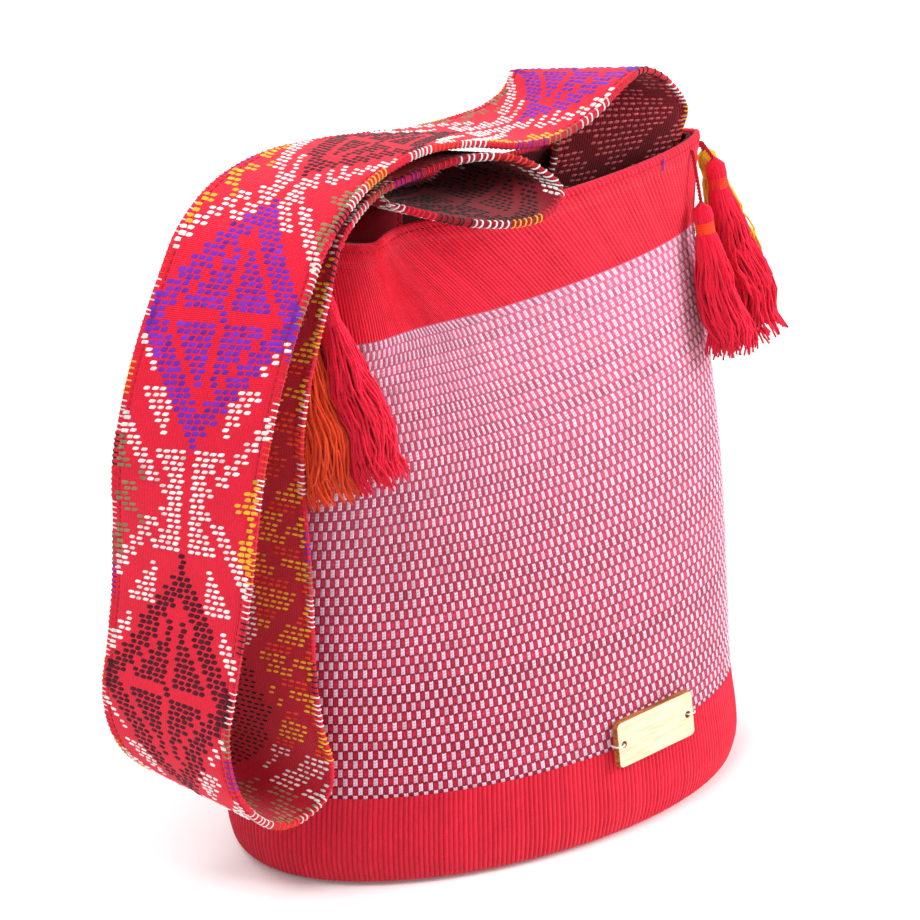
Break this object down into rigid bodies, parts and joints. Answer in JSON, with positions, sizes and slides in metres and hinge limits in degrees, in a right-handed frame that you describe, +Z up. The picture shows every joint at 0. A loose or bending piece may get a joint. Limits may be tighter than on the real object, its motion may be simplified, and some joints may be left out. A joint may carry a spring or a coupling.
{
  "type": "shoulder bag",
  "caption": "Hand-woven bucket shoulder bag with ribbed bands, a checker panel, a broad brocade strap draped over its mouth, yarn tassels and a bare wooden plate",
  "frame": {"origin": "middle of the underside, on the surface the bag stands on", "axes": "+Z up, +X along the mouth to the bag's right end as seen from the front, +Y to the back"},
  "size_m": [0.3438, 0.1406, 0.3219],
  "materials": {
    "woven_cloth": "ribbed red cotton with a pink and white checker panel",
    "stiffener": "stiff board",
    "lining": "plain black cloth",
    "facing": "dark red cloth",
    "brocade": "doubled red cloth with brocade floats in many colours",
    "red_yarn": "soft twisted yarn",
    "orange_yarn": "soft twisted yarn",
    "yellow_yarn": "soft twisted yarn",
    "plate": "bare pale wood, sanded",
    "tie_thread": "white thread",
    "tack": "dark purple thread"
  },
  "bodies": {
    "bag": {"body_cloth": "woven_cloth", "base_panel": "woven_cloth", "base_board": "stiffener", "lining": "lining", "rim_facing": "facing", "strap": "brocade", "name_plate": "plate", "plate_tie_left": "tie_thread", "plate_tie_right": "tie_thread", "tack_thread": "tack", "tassel_left_orange_cord": "red_yarn", "tassel_left_orange_yarn": "orange_yarn", "tassel_left_orange_wrap": "red_yarn"},
    "left_red_tassel": {"tassel_left_red_cord": "red_yarn", "tassel_left_red_yarn": "red_yarn", "tassel_left_red_wrap": "red_yarn"},
    "right_upper_tassel": {"tassel_right_red_upper_cord": "red_yarn", "tassel_right_red_upper_yarn": "red_yarn", "tassel_right_red_upper_wrap": "orange_yarn"},
    "right_lower_tassel": {"tassel_right_red_lower_cord": "red_yarn", "tassel_right_red_lower_yarn": "red_yarn", "tassel_right_red_lower_wrap": "orange_yarn"},
    "right_yellow_tassel": {"tassel_right_yellow_cord": "red_yarn", "tassel_right_yellow_yarn": "yellow_yarn", "tassel_right_yellow_wrap": "yellow_yarn"}
  },
  "joints": [
    {"name": "left_red_swing", "type": "hinge", "parent": "bag", "child": "left_red_tassel", "pos_m": [-0.0982, -0.0224, 0.2818], "axis": [-0.9798, -0.2, 0], "range_deg": [0, 60]},
    {"name": "right_upper_swing", "type": "hinge", "parent": "bag", "child": "right_upper_tassel", "pos_m": [0.1087, -0.0072, 0.2814], "axis": [-0.6, -0.8, 0], "range_deg": [0, 60]},
    {"name": "right_lower_swing", "type": "hinge", "parent": "bag", "child": "right_lower_tassel", "pos_m": [0.0978, -0.0145, 0.2818], "axis": [-0.9798, -0.2, 0], "range_deg": [0, 60]},
    {"name": "right_yellow_swing", "type": "hinge", "parent": "bag", "child": "right_yellow_tassel", "pos_m": [0.1105, 0.0002, 0.2813], "axis": [0.2402, -0.9707, 0], "range_deg": [0, 60]}
  ]
}
